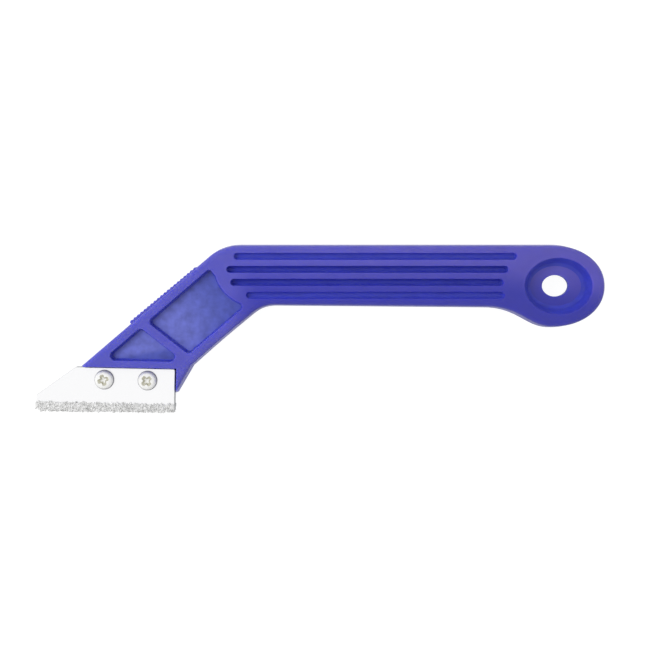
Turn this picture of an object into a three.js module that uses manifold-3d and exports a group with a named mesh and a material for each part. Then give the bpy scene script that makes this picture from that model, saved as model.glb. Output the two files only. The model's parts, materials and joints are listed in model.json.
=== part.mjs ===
// Hand grout saw: a moulded handle with two grit-edged steel blades screwed to the step in its nose.
// Millimetres. The saw lies on its back: +X runs along the grip to the hanging lobe, +Y points to the
// grip's upper edge and +Z comes up through the thickness. The origin is under the middle of the saw.
// The drawing below starts at the bend, the corner where the upper edges of grip and neck would meet.

import * as THREE from 'three'
import { mergeVertices } from 'three/addons/utils/BufferGeometryUtils.js'
import Module from 'manifold-3d'

const wasm = await Module()
wasm.setup()

// Handle: grip, lobe and neck
const handle_thickness = 12
const edge_radius = 1.6
const grip_length = 118
const grip_height_at_neck = 21.5
const grip_height_at_lobe = 22.2
const bend_radius = 17
const throat_radius = 12
const lobe_half_length = 18.4
const lobe_half_height = 14.65
const fairing_length = 24.6
const fairing_angle = THREE.MathUtils.degToRad(-128.5)
const fairing_lead = 5
const fairing_trail = 5.1
const neck_angle = THREE.MathUtils.degToRad(40.6)
const neck_length = 66.9
const neck_width = 25.8

// Nose: the step that the blades lie on, with a tongue under them and a heel behind them
const seat_tilt = THREE.MathUtils.degToRad(1.2)
const tongue_thickness = 6
const tongue_toe_radius = 2.4
const tongue_heel_length = 7
const heel_width = 4.3
const heel_rise = 1.3
const heel_depth = 8.5
const heel_kink_radius = 3

// Thumb rest: fine teeth along the neck's upper edge
const rest_start = 12.4
const rest_length = 30.4
const tooth_count = 20
const tooth_height = 0.55
const tooth_root = 1

// Grooves along the grip
const groove_height = 2.4
const groove_upper_border = 3
const groove_lower_border = 2.4
const groove_start_shares = [0.035, 0.013, 0.025, 0.072]
const groove_end_shares = [0.889, 0.864, 0.849, 0.852]
const groove_depth_outer = 1.6
const groove_depth_inner = 2.2
const groove_draft = 0.3

// Pockets in the neck, and the rib between them
const pocket_depth = 3
const pocket_draft = 0.5
const pocket_corner_radius = 1.5
const neck_border = 3.7
const nose_border = 2.4
const pocket_start = 8.6
const rib_to_nose = 28.5
const rib_width = 2.5
const rib_lean = THREE.MathUtils.degToRad(11.4)
const grip_end_radius = 14.6
const grip_end_inset = 11.6
const grip_end_drop = 7.5

// Dish and hanging hole in the lobe
const dish_half_length = 12.1
const dish_end_border = 4.3
const dish_side_border = 4.5
const dish_depth = 4.5
const dish_draft = 2.5
const hole_half_length = 5
const hole_half_height = 4

// Blades
const blade_length = 50
const blade_height = 15
const blade_thickness = 1.5
const blade_top_length = 35.8
const blade_toe_height = 4.8
const blade_corner_radius = 0.7
const blade_end_gap = 0.9
const blade_top_gap = 0.3
const grit_band = 3.3
const grit_thickness = 0.5
const grit_overhang = 0.7
const grit_toe_overhang = 0.4
const grit_toe_radius = 1.8
const grit_clearance = 1.2
const bond_gap = 0.1

// Screws and nuts: M4 pan head screws with a cross recess, and hexagon nuts let into the back
const screw_radius = 2
const screw_tip_sink = 1
const screw_tip_chamfer = 0.5
const head_radius = 3.55
const head_height = 2.3
const head_side = 0.7
const head_flat_radius = 1.6
const recess_span = 4
const recess_width = 1
const recess_depth = 1.3
const heel_screw_inset = 9.8
const screw_spacing = 15.5
const screw_drop = 4.3
const toe_screw_turn = THREE.MathUtils.degToRad(20)
const heel_screw_turn = THREE.MathUtils.degToRad(43)
const head_gap = 0.1
const shank_clearance = 0.25
const nut_flats = 7
const nut_thickness = 3
const nut_sink = 0.4
const nut_clearance = 0.15
const thread_clearance = 0.1

// How finely curves are cut up, and how far a cutter runs past what it cuts
const arc_steps = 6
const lobe_steps = 40
const hole_steps = 32
const bolt_sides = 24
const edge_steps = 3
const overrun = 4
const merge_distance = 0.0001

const flat = (x, y) => new THREE.Vector2(x, y)
const bend = flat(0, 0)
const lobe_top = flat(grip_length, 0)
const lobe_centre = flat(grip_length, -lobe_half_height)

// Directions down the neck and into it, and along the shoulder and away from it
const down_neck = flat(-Math.cos(neck_angle), -Math.sin(neck_angle))
const into_neck = flat(Math.sin(neck_angle), -Math.cos(neck_angle))
const along_seat = flat(Math.cos(seat_tilt), -Math.sin(seat_tilt))
const below_seat = flat(-Math.sin(seat_tilt), -Math.cos(seat_tilt))

// A place on the neck: a distance down it from the bend, and a distance in from its upper edge
function on_neck(along, across) {
  return bend.clone().addScaledVector(down_neck, along).addScaledVector(into_neck, across)
}

const nose = on_neck(neck_length, 0)

// A place on the step: a distance along the shoulder from the nose, and a distance below it
function on_seat(along, below) {
  return nose.clone().addScaledVector(along_seat, along).addScaledVector(below_seat, below)
}

// Where a line through one place, in one direction, is at a distance below the shoulder
function at_depth(place, direction, below) {
  const missing = below - place.clone().sub(nose).dot(below_seat)
  return place.clone().addScaledVector(direction, missing / direction.dot(below_seat))
}

// The shoulder stops short of the neck's lower edge, where the heel stands
const lower_edge = on_neck(0, neck_width)
const seat_length = at_depth(lower_edge, down_neck, 0).sub(nose).dot(along_seat) - heel_width
const tongue_depth = blade_top_gap + blade_height - grit_band - grit_clearance

// The round that replaces one corner between its neighbours
function corner_arc(before, corner, after, radius) {
  const back = before.clone().sub(corner).normalize()
  const forth = after.clone().sub(corner).normalize()
  const half_angle = Math.acos(back.dot(forth)) / 2
  const middle = back.clone().add(forth).normalize()
  const centre = middle.multiplyScalar(radius / Math.sin(half_angle)).add(corner)
  const start = back.clone().multiplyScalar(radius / Math.tan(half_angle)).add(corner)
  const sweep = (2 * half_angle - Math.PI) * Math.sign(back.cross(forth))
  const points = []
  for (let i = 0; i <= arc_steps; i++) {
    points.push(start.clone().rotateAround(centre, sweep * i / arc_steps))
  }
  return points
}

function rounded(corners, radius) {
  return corners.flatMap((corner, i) =>
    corner_arc(corners.at(i - 1), corner, corners[(i + 1) % corners.length], radius))
}

// A point of an ellipse, at an angle from +X
function on_ellipse(centre, half_length, half_height, angle) {
  return flat(half_length * Math.cos(angle), half_height * Math.sin(angle)).add(centre)
}

function ellipse(centre, half_length, half_height, steps) {
  const points = []
  for (let i = 0; i < steps; i++) {
    points.push(on_ellipse(centre, half_length, half_height, 2 * Math.PI * i / steps))
  }
  return points
}

// The lobe runs clockwise from its top to the place where the fairing leaves it
function lobe_arc() {
  const points = []
  for (let i = 0; i <= lobe_steps; i++) {
    const angle = THREE.MathUtils.lerp(Math.PI / 2, fairing_angle, i / lobe_steps)
    points.push(on_ellipse(lobe_centre, lobe_half_length, lobe_half_height, angle))
  }
  return points
}

// The fairing carries the lobe's edge into the lower edge of the grip
const fairing_start = flat(grip_length - fairing_length, -grip_height_at_lobe)

function fairing() {
  const end = on_ellipse(lobe_centre, lobe_half_length, lobe_half_height, fairing_angle)
  const tangent = flat(
    -lobe_half_length * Math.sin(fairing_angle),
    lobe_half_height * Math.cos(fairing_angle),
  ).normalize()
  const curve = new THREE.CubicBezierCurve(
    end,
    end.clone().addScaledVector(tangent, -fairing_trail),
    fairing_start.clone().add(flat(fairing_lead, 0)),
    fairing_start,
  )
  return curve.getPoints(2 * arc_steps).slice(1)
}

// Outline of the whole handle, clockwise from the bend, with the tongue under the blades
function handle_outline() {
  const throat_along = (grip_height_at_neck + lower_edge.y) / Math.sin(neck_angle)
  const throat = on_neck(throat_along, neck_width)
  const kink = at_depth(lower_edge, down_neck, -heel_rise)
  const heel_tip = on_seat(seat_length, heel_depth)
  const tongue_heel = on_seat(seat_length - tongue_heel_length, tongue_depth)
  const tongue_toe = at_depth(bend, down_neck, tongue_depth)
  return [
    ...corner_arc(tongue_toe, bend, lobe_top, bend_radius),
    ...lobe_arc(),
    ...fairing(),
    ...corner_arc(fairing_start, throat, kink, throat_radius),
    ...corner_arc(throat, kink, heel_tip, heel_kink_radius),
    heel_tip,
    tongue_heel,
    ...corner_arc(tongue_heel, tongue_toe, bend, tongue_toe_radius),
  ]
}

// Solids: an extruded outline, with or without rounded rims
function extruded(points, depth, options = {}) {
  return new THREE.ExtrudeGeometry(new THREE.Shape(points), { depth, bevelEnabled: false, ...options })
}

function to_solid(geometry) {
  geometry.deleteAttribute('normal')
  geometry.deleteAttribute('uv')
  const merged = mergeVertices(geometry, merge_distance)
  return new wasm.Manifold(new wasm.Mesh({
    numProp: 3,
    vertProperties: merged.attributes.position.array,
    triVerts: new Uint32Array(merged.index.array),
  }))
}

function to_geometry(solid) {
  const { vertProperties, triVerts } = solid.getMesh()
  const geometry = new THREE.BufferGeometry()
  geometry.setAttribute('position', new THREE.BufferAttribute(vertProperties, 3))
  geometry.setIndex(new THREE.BufferAttribute(triVerts, 1))
  geometry.computeVertexNormals()
  return geometry
}

// A recess sunk into both faces of the handle, with walls that lean out by its draft
function sunk_in_both_faces(points, depth, draft) {
  const cutter = () => extruded(points, overrun, {
    bevelEnabled: true, bevelThickness: depth, bevelSize: draft, bevelOffset: -draft, bevelSegments: 1,
  })
  return [
    to_solid(cutter().translate(0, 0, handle_thickness)),
    to_solid(cutter().translate(0, 0, -overrun)),
  ]
}

function through_cut(points) {
  return to_solid(extruded(points, handle_thickness + 2 * overrun).translate(0, 0, -overrun))
}

function handle_blank() {
  const flat_depth = handle_thickness - 2 * edge_radius
  const rims = { bevelEnabled: true, bevelThickness: edge_radius, bevelSize: edge_radius }
  return to_solid(extruded(handle_outline(), flat_depth, {
    ...rims, bevelOffset: -edge_radius, bevelSegments: edge_steps,
  }).translate(0, 0, edge_radius))
}

// The thumb rest's teeth stand on a strip that reaches down into the neck
function thumb_rest() {
  const pitch = rest_length / tooth_count
  const points = [on_neck(rest_start, tooth_root)]
  for (let i = 0; i < tooth_count; i++) {
    points.push(on_neck(rest_start + pitch * i, 0))
    points.push(on_neck(rest_start + pitch * (i + 1 / 2), -tooth_height))
  }
  points.push(on_neck(rest_start + rest_length, 0), on_neck(rest_start + rest_length, tooth_root))
  return to_solid(extruded(points, handle_thickness - 2 * edge_radius).translate(0, 0, edge_radius))
}

// What is cut away over the tongue, so that the blades lie against the shoulder and the heel
function seat_cut() {
  const reach = blade_length + overrun
  const points = [
    on_seat(seat_length, 0),
    on_seat(seat_length, blade_height + overrun),
    on_seat(-reach, blade_height + overrun),
    on_seat(-reach, 0),
  ]
  return to_solid(extruded(points, handle_thickness).translate(0, 0, tongue_thickness))
}

function groove_cuts() {
  const radius = groove_height / 2
  const last = groove_start_shares.length - 1
  const top = -groove_upper_border - radius
  const bottom = groove_lower_border + radius - grip_height_at_neck
  return groove_start_shares.flatMap((start_share, i) => {
    const inner = i > 0 && i < last
    const y = THREE.MathUtils.lerp(top, bottom, i / last)
    const start = grip_length * start_share + radius
    const end = grip_length * groove_end_shares[i] - radius
    const capsule = new THREE.Path()
    capsule.absarc(start, y, radius, Math.PI / 2, 3 * Math.PI / 2)
    capsule.absarc(end, y, radius, -Math.PI / 2, Math.PI / 2)
    const depth = inner ? groove_depth_inner : groove_depth_outer
    return sunk_in_both_faces(capsule.getPoints(arc_steps), depth, groove_draft)
  })
}

// The big pocket runs from the end of the grip to the rib, and the small one from the rib to the nose
function pocket_cuts() {
  const lower_border = neck_width - neck_border
  const rib = into_neck.clone().rotateAround(flat(0, 0), rib_lean)
  const rib_upper = on_neck(neck_length - rib_to_nose, neck_border)
  const rib_lower = rib_upper.clone().addScaledVector(rib, (lower_border - neck_border) / Math.cos(rib_lean))
  const foot_upper = rib_upper.clone().addScaledVector(down_neck, rib_width / Math.cos(rib_lean))
  const big = rounded([
    on_neck(pocket_start, neck_border),
    on_neck(pocket_start, lower_border),
    rib_lower,
    rib_upper,
  ], pocket_corner_radius)
  const small = rounded([
    foot_upper,
    at_depth(foot_upper, rib, -nose_border),
    at_depth(foot_upper, down_neck, -nose_border),
  ], pocket_corner_radius)
  const grip_end = ellipse(flat(grip_end_inset, -grip_end_drop), grip_end_radius, grip_end_radius, lobe_steps)
  const kept = through_cut(grip_end)
  const big_cuts = sunk_in_both_faces(big, pocket_depth, pocket_draft).map(cut => cut.subtract(kept))
  return [...big_cuts, ...sunk_in_both_faces(small, pocket_depth, pocket_draft)]
}

function lobe_cuts() {
  const dish_half_height = lobe_half_height - dish_side_border
  const offset = lobe_half_length - dish_end_border - dish_half_length
  const centre = lobe_centre.clone().add(flat(offset, 0))
  return [
    ...sunk_in_both_faces(
      ellipse(centre, dish_half_length, dish_half_height, lobe_steps), dish_depth, dish_draft),
    through_cut(ellipse(centre, hole_half_length, hole_half_height, hole_steps)),
  ]
}

// Blade outline in the blade's own plane: its origin is the top corner at the heel, +X towards the heel
function blade_corners(growth = 0) {
  const toe = -blade_length - growth
  return [
    flat(0, 0),
    flat(0, -blade_height - growth),
    flat(toe, -blade_height - growth),
    flat(toe, blade_toe_height - blade_height),
    flat(-blade_top_length, 0),
  ]
}

const screw_places = {
  toe: flat(-heel_screw_inset - screw_spacing, -screw_drop),
  heel: flat(-heel_screw_inset, -screw_drop),
}
const blade_origin = on_seat(seat_length - blade_end_gap, blade_top_gap)
const nut_top = nut_sink + nut_thickness

function hexagon(across_flats) {
  return ellipse(flat(0, 0), across_flats / Math.sqrt(3), across_flats / Math.sqrt(3), 6)
}

// Holes for the screws and six-sided pockets for the nuts, in the tongue
function fastener_cuts() {
  return Object.values(screw_places).flatMap(place => {
    const centre = place.clone().rotateAround(flat(0, 0), -seat_tilt).add(blade_origin)
    const hole_radius = screw_radius + shank_clearance
    const pocket = extruded(hexagon(nut_flats + 2 * nut_clearance), nut_top + overrun)
    pocket.rotateZ(-seat_tilt).translate(centre.x, centre.y, -overrun)
    return [through_cut(ellipse(centre, hole_radius, hole_radius, bolt_sides)), to_solid(pocket)]
  })
}

function handle() {
  const cuts = [seat_cut(), ...groove_cuts(), ...pocket_cuts(), ...lobe_cuts(), ...fastener_cuts()]
  const blank = handle_blank().add(thumb_rest())
  return to_geometry(cuts.reduce((solid, cut) => solid.subtract(cut), blank))
}

function blade_solid(thickness) {
  const plate = to_solid(extruded(rounded(blade_corners(), blade_corner_radius), thickness))
  return Object.values(screw_places).reduce((solid, place) => {
    const radius = screw_radius + shank_clearance
    const hole = extruded(ellipse(place, radius, radius, bolt_sides), thickness + 2 * overrun)
    return solid.subtract(to_solid(hole.translate(0, 0, -overrun)))
  }, plate)
}

// Grit on the outer face and round the lower edges of a blade, laid for a blade whose outer face is up
function grit() {
  const top = grit_band - blade_height
  const bottom = -blade_height - grit_overhang
  const toe = -blade_length - grit_toe_overhang
  const toe_round = corner_arc(flat(0, bottom), flat(toe, bottom), flat(toe, top), grit_toe_radius)
  const outline = [flat(0, top), flat(0, bottom), ...toe_round, flat(toe, top)]
  const band = to_solid(extruded(outline, blade_thickness + grit_thickness))
  const room = extruded(blade_corners(bond_gap), blade_thickness + overrun).translate(0, 0, -overrun)
  return band.subtract(to_solid(room))
}

// A pan head with a cross recess over a plain shank, seated at z = 0
function screw() {
  const screw_length = tongue_thickness + 2 * blade_thickness + head_gap - screw_tip_sink
  const profile = [
    flat(0, -screw_length),
    flat(screw_radius - screw_tip_chamfer, -screw_length),
    flat(screw_radius, screw_tip_chamfer - screw_length),
    flat(screw_radius, 0),
    flat(head_radius, 0),
  ]
  for (let i = 0; i <= arc_steps; i++) {
    const angle = Math.PI / 2 * i / arc_steps
    const out = head_flat_radius + (head_radius - head_flat_radius) * Math.cos(angle)
    profile.push(flat(out, head_side + (head_height - head_side) * Math.sin(angle)))
  }
  profile.push(flat(0, head_height))
  const body = to_solid(new THREE.LatheGeometry(profile, bolt_sides).rotateX(Math.PI / 2))
  const slot = () => new THREE.BoxGeometry(recess_span, recess_width, 2 * recess_depth)
  const arm = to_solid(slot().translate(0, 0, head_height))
  const cross_arm = to_solid(slot().rotateZ(Math.PI / 2).translate(0, 0, head_height))
  return to_geometry(body.subtract(arm).subtract(cross_arm))
}

function nut() {
  const radius = screw_radius + thread_clearance
  const hole = extruded(ellipse(flat(0, 0), radius, radius, bolt_sides), nut_thickness + 2 * overrun)
  const body = to_solid(extruded(hexagon(nut_flats), nut_thickness))
  return to_geometry(body.subtract(to_solid(hole.translate(0, 0, -overrun))))
}

// Finishes
const plastic = () => new THREE.MeshStandardMaterial({ color: 0x5450b0, roughness: 0.42, metalness: 0 })
const steel = () => new THREE.MeshStandardMaterial({ color: 0xe4e5e8, roughness: 0.3, metalness: 1 })
const carbide = () => new THREE.MeshStandardMaterial({ color: 0xb9babe, roughness: 0.75, metalness: 0.5 })
const zinc = () => new THREE.MeshStandardMaterial({ color: 0xc9ccd0, roughness: 0.32, metalness: 1 })

function named(name, geometry, material) {
  const mesh = new THREE.Mesh(geometry, material)
  mesh.name = name
  return mesh
}

const group = new THREE.Group()
const saw = new THREE.Group()
group.add(saw)
saw.add(named('handle', handle(), plastic()))

// The blades lie one on the other: the rear one against the tongue, the front one under the heads
const blades = new THREE.Group()
blades.position.set(blade_origin.x, blade_origin.y, tongue_thickness)
blades.rotation.z = -seat_tilt
saw.add(blades)

const front_blade = named('front_blade', to_geometry(blade_solid(blade_thickness)), steel())
const front_grit = named('front_blade_grit', to_geometry(grit()), carbide())
const rear_blade = named('rear_blade', to_geometry(blade_solid(blade_thickness)), steel())
const rear_grit = named('rear_blade_grit', to_geometry(grit().mirror([0, 0, 1])), carbide())
front_blade.position.z = blade_thickness
front_grit.position.z = blade_thickness
rear_grit.position.z = blade_thickness
blades.add(front_blade, front_grit, rear_blade, rear_grit)

const screw_turns = { toe: toe_screw_turn, heel: heel_screw_turn }
for (const [side, place] of Object.entries(screw_places)) {
  const side_screw = named(`${side}_screw`, screw(), zinc())
  side_screw.position.set(place.x, place.y, 2 * blade_thickness + head_gap)
  side_screw.rotation.z = screw_turns[side]
  const side_nut = named(`${side}_nut`, nut(), zinc())
  side_nut.position.set(place.x, place.y, nut_sink - tongue_thickness)
  blades.add(side_screw, side_nut)
}

// The origin is at the middle of the footprint
const box = new THREE.Box3().setFromObject(saw)
const middle = box.getCenter(new THREE.Vector3())
saw.position.set(-middle.x, -middle.y, -box.min.z)

export default group
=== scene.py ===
"""Looks of a hand grout saw: a moulded blue handle with two grit-edged steel blades screwed to its nose.

Sizes are in millimetres, and each piece comes to metres when it is set in its place on the frame.
The handle is drawn from the bend, where the upper edges of grip and neck would meet, with its
mid-plane at height zero. The blades are drawn from their top corner by the heel.
"""

import json
import math
import random

import bpy
from mathutils import Matrix, Vector, noise


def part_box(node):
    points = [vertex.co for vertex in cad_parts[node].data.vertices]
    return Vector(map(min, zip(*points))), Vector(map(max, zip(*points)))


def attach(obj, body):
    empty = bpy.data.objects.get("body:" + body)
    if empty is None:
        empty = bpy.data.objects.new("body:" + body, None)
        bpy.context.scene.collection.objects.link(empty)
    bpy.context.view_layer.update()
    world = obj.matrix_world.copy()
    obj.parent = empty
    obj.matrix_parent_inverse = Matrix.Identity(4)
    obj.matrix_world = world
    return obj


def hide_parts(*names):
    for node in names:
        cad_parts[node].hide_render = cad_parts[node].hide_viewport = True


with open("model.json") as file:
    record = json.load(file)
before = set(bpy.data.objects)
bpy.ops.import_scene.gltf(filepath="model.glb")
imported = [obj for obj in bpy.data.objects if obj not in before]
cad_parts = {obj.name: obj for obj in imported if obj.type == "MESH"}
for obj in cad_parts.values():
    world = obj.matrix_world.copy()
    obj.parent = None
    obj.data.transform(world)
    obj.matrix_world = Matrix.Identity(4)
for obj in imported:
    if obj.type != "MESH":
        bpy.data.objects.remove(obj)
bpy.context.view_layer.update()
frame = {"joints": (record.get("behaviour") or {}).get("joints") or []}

millimetre = 0.001

# Handle: grip, lobe and neck. The lobe is fuller than an ellipse, whose fullness would be 2.
handle_thickness = 12
grip_length = 118.25
grip_height_at_neck = 21.5
grip_height_at_lobe = 22.2
bend_radius = 17
throat_radius = 12
handle_reach = 136.65
lobe_half_length = 18.75
lobe_half_height = 14.7
lobe_fullness = 2.08
fairing_length = 24
fairing_angle = math.radians(-91)
fairing_lead = 12.5
fairing_trail = 8.2
neck_angle = math.radians(40.6)
neck_length = 66.83
neck_width = 25.75
neck_hollow = 0.2

# Outer wall: it bulges a little past the drawn outline, from a fine seam at the parting line, and
# leans in to a round rim and a hardly crowned face. The crown is given as widths and rises.
wall_bulge = 0.25
seam_height = 0.06
seam_width = 0.05
side_draft = 0.4
rim_radius = 1.5
crown_rings = [(0.3, 0.05), (0.4, 0.03)]

# Nose: the step that the blades lie on, with a tongue under them and a heel behind them
tongue_thickness = 6
tongue_toe_radius = 3
tongue_heel_length = 7
tongue_depth = 10.85
heel_width = 4.05
heel_rise = 1.25
heel_depth = 8.55
heel_kink_radius = 3
nose_blunt = 1.3
step_rim = 0.6
step_draft = 0.05
step_foot = 0.25

# Thumb rest: a low strip of fine teeth, a little higher at its nose end
rest_start = 12.2
rest_length = 30.9
rest_rise_by_bend = 0.4
rest_rise_by_nose = 0.85
rest_root = 1
tooth_count = 20
tooth_height = 0.35
tooth_end = 0.35

# Grooves along the grip, from its upper edge to its lower one
groove_height = 2.4
groove_upper_border = 2.9
groove_lower_border = 2.35
groove_start_shares = [0.037, 0.015, 0.027, 0.074]
groove_end_shares = [0.889, 0.864, 0.849, 0.852]
groove_depth_outer = 1.7
groove_depth_inner = 3
groove_draft = 0.15
groove_rim = 0.3
groove_foot = 0.95

# Pockets in the neck, and the rib between them
pocket_depth = 3
pocket_draft = 0.1
pocket_corner_radius = 1.7
pocket_bend_radius = 1
pocket_throat_radius = 1.4
pocket_rim = 0.45
pocket_foot = 0.5
neck_border = 3.6
neck_lower_border = 3.75
nose_border = 2.55
pocket_start = 8.88
rib_to_nose = 28.84
rib_width = 3.1
rib_lean = math.radians(11.4)
grip_end_radius = 14.6
grip_end_inset = 11.85
grip_end_drop = 7.15

# Dish in the lobe: its floor falls a little towards the hanging hole
dish_half_length = 12
dish_end_border = 4.9
dish_side_border = 4.75
dish_rise = 0.05
dish_depth = 4.5
dish_draft = 1.1
dish_rim = 0.5
dish_foot = 1.7
dish_fall = (2.5, 0.25)

# Hanging hole, narrowest at the parting line
hole_half_length = 4.85
hole_half_height = 3.9
hole_rim = 0.1
hole_draft = 0.05

# Blades. A face belongs to the sheared edge if its normal has less than the limit of Z in it.
blade_length = 49.6
blade_height = 15
blade_thickness = 1.5
blade_top_length = 35.8
blade_toe_height = 4.8
blade_corner_radius = 0.7
blade_edge = 0.22
sheared_edge_limit = 0.9

# Grit: grains brazed on the outer face and round the lower edges of each blade
grit_band = 2
grit_overhang_at_heel = 0.2
grit_overhang_at_toe = 0.7
grit_toe_overhang = 0.3
grit_toe_round = 1.4
grit_wander = 0.5
grit_wander_length = 1.2
grit_steps = 64
grain_size = 0.95
grain_spacing = 0.6
grain_shift = 0.2
grain_kinds = 6
grain_roughness_share = 0.3
grain_scales = (0.7, 1.2)
# Grain faces that look further down than this get painted shade
grain_underside = -0.75
braze_thickness = 0.35

# Screws: M4 pan heads with a cross recess, seated on the blades
screw_radius = 2
screw_length = 8.1
screw_tip_chamfer = 0.5
thread_pitch = 0.7
thread_depth = 0.3
thread_root_share = 0.8
thread_crest_share = 0.16
thread_runout = 0.6
head_radius = 3.55
head_height = 1.9
head_side = 0.5
head_flat_radius = 1.9
skirt_width = 0.3
recess_span = 4.1
recess_width = 1.5
recess_corner = 0.45
recess_depth = 0.8
recess_taper_share = 0.5
recess_tip_depth = 0.3
recess_tip_share = 0.1
screw_turns = {"toe": math.radians(20), "heel": math.radians(43)}
heel_screw_inset = 9.8
screw_drop = 4.3
head_gap = 0.1
shank_clearance = 0.25

# Nuts: M4 hexagons, let into the back of the tongue
nut_sides = 6
nut_flats = 7
nut_thickness = 3
nut_sink = 0.4
nut_clearance = 0.15
nut_chamfer = 0.35
nut_face_share = 0.95
thread_clearance = 0.1
hole_edge = 0.2

# The painted shade along the lower half of the grip sets in over a stretch below the grip's upper edge.
# It comes on along a run past the bend, and sets in that much lower at the end of the lobe.
painted_shade_start = 4.5
deep_tint_end = 17.5
painted_shade_run = 14
painted_shade_drop = 7

# Where the painted light on the pocket floors is palest and their painted shade darkest: how far down the
# neck, and how far in
big_floor_painted_light = (34, 10)
big_floor_painted_shade = (12, 16)
small_floor_painted_light = (45.1, 10.9)
small_floor_painted_shade = (46.2, 12.8)

# Patterns in the finishes: how large their patches are, by what share they change the colour, and
# how deep and strong their bumps are. Noise seldom leaves the range from low to high.
flow_mark = 6
flow_share = 0.1
mould_grain = 0.5
mould_grain_depth = 0.05
mould_grain_strength = 0.12
groove_mark = 1.5
groove_mark_stretch = 6
groove_mark_share = 0.25
cloud_size = 3
cloud_share = 0.2
cloud_detail = 4
ripple_size = 2
ripple_depth = 0.1
ripple_strength = 0.3
roll_mark_length = 14
roll_mark_spacing = 0.35
roll_mark_depth = 0.02
roll_mark_strength = 0.08
carbide_speck = 0.9
noise_low = 0.3
noise_high = 0.7

# How far light goes under the plastic's skin, for red, green and blue as shares of a length
see_through = {
    "Subsurface_Weight": 0.8,
    "Subsurface_Radius": (0.2, 0.25, 1),
    "Subsurface_Scale": 2.5 * millimetre,
}

# How finely round shapes are cut up
turn_step = math.radians(6)
lobe_step = math.radians(3)
lobe_hole_steps = 96
bolt_steps = 48
curve_steps = 20
hollow_steps = 12
groove_end_steps = 14
grip_end_steps = 9
rim_steps = 5
edge_steps = 3
dome_steps = 14

# The edges of each piece that are sharper than its crease stay sharp to the eye
moulding_crease = math.radians(32)
plate_crease = math.radians(32)
grain_crease = math.radians(60)
screw_crease = math.radians(35)
nut_crease = math.radians(25)

# How far a cutter runs past what it cuts, what keeps faces from lying in one plane, what is one
# place, and how few faces a solid can have
overrun = 2
skin = 0.01
weld = 0.001
fewest_faces = 4

# The picture: 650 pixels wide, with so many pixels to a millimetre at the handle's flat face. The
# lens axis meets it that many pixels above its centre, level with the middle of the grip.
picture_width = 650
face_scale = 2.81
axis_above_centre = 50
sensor_width = 36
camera_place = (2.4, 19.39)
camera_height = 320

# White paper under the saw, and a white tent with one soft lamp. In reflections the tent glows more
# near the horizon, up to a share of its height.
paper_size = 6000
paper_drop = 0.2
paper_glow = 0.95
tent_light = 0.66
tent_horizon_glow = 1.5
tent_horizon_share = 0.6
lamp_place = (-280, 110, 330)
lamp_size = 250
lamp_watts = 1.15

handle_low, handle_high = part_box("handle")
half_thickness = handle_thickness / 2
bend = Vector((0, 0))
lobe_top = Vector((grip_length, 0))
lobe_centre = Vector((grip_length, -lobe_half_height))
dish_centre = lobe_centre + Vector((lobe_half_length - dish_end_border - dish_half_length, dish_rise))
web_half_thickness = half_thickness - dish_depth - dish_fall[1]
down_neck = Vector((-math.cos(neck_angle), -math.sin(neck_angle)))
into_neck = Vector((math.sin(neck_angle), -math.cos(neck_angle)))

# The screws' axes, as the frame gives them, say how the blades and their step are tilted
screw_axes = {
    joint["child"].removesuffix("_screw_body"): Vector(joint["pos_m"])
    for joint in frame["joints"]
}
screw_line = screw_axes["heel"] - screw_axes["toe"]
seat_tilt = math.atan2(screw_line.y, screw_line.x)
along_seat = Vector((math.cos(seat_tilt), math.sin(seat_tilt)))
below_seat = Vector((math.sin(seat_tilt), -math.cos(seat_tilt)))


def on_neck(along, across):
    """A place on the neck: how far down it from the bend, and how far in from its upper edge"""
    return bend + down_neck * along + into_neck * across


nose = on_neck(neck_length, 0)


def on_seat(along, below):
    """A place on the step: how far along the shoulder from the nose, and how far below it"""
    return nose + along_seat * along + below_seat * below


def at_depth(place, direction, below):
    """Where a line from a place, in a direction, is that far below the shoulder"""
    missing = below - (place - nose).dot(below_seat)
    return place + direction * (missing / direction.dot(below_seat))


lower_edge = on_neck(0, neck_width)
seat_length = (at_depth(lower_edge, down_neck, 0) - nose).dot(along_seat) - heel_width

# Where the drawings lie on the frame
handle_place = (
    Matrix.Translation(Vector((
        handle_high.x - handle_reach * millimetre,
        handle_high.y,
        (handle_low.z + handle_high.z) / 2,
    )))
    @ Matrix.Scale(millimetre, 4)
)
bend_place = handle_place @ bend.to_3d()
blade_turn = Matrix.Rotation(seat_tilt, 4, "Z")
blade_origin = screw_axes["heel"] + blade_turn @ Vector((heel_screw_inset, screw_drop, 0)) * millimetre


def at_height(place, height, turn):
    """Where a drawing lies that starts at a place, so high over the handle's back, turned about Z"""
    return (
        Matrix.Translation((place.x, place.y, handle_low.z + height * millimetre))
        @ Matrix.Rotation(turn, 4, "Z")
        @ Matrix.Scale(millimetre, 4)
    )


# Selecting and editing


def only(*pieces):
    """Selects these pieces and nothing else"""
    bpy.ops.object.select_all(action="DESELECT")
    for piece in pieces:
        piece.select_set(True)
    bpy.context.view_layer.objects.active = pieces[0]


def edit(piece, kind="FACE"):
    """Opens a piece for editing, with all of it selected"""
    only(piece)
    bpy.ops.object.mode_set(mode="EDIT")
    bpy.ops.mesh.select_mode(type=kind)
    bpy.ops.mesh.select_all(action="SELECT")


def done():
    bpy.ops.object.mode_set(mode="OBJECT")


def outside_out():
    """Closes the open piece with every face looking outwards"""
    bpy.ops.mesh.select_all(action="SELECT")
    bpy.ops.mesh.remove_doubles(threshold=weld)
    bpy.ops.mesh.normals_make_consistent(inside=False)
    done()


def finish_modifier(piece, modifier):
    only(piece)
    bpy.ops.object.modifier_apply(modifier=modifier.name)


# Drawing in the plane


def turned(vector, angle):
    return Matrix.Rotation(angle, 2) @ vector


def between(start, end, share):
    return start + (end - start) * share


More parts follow.
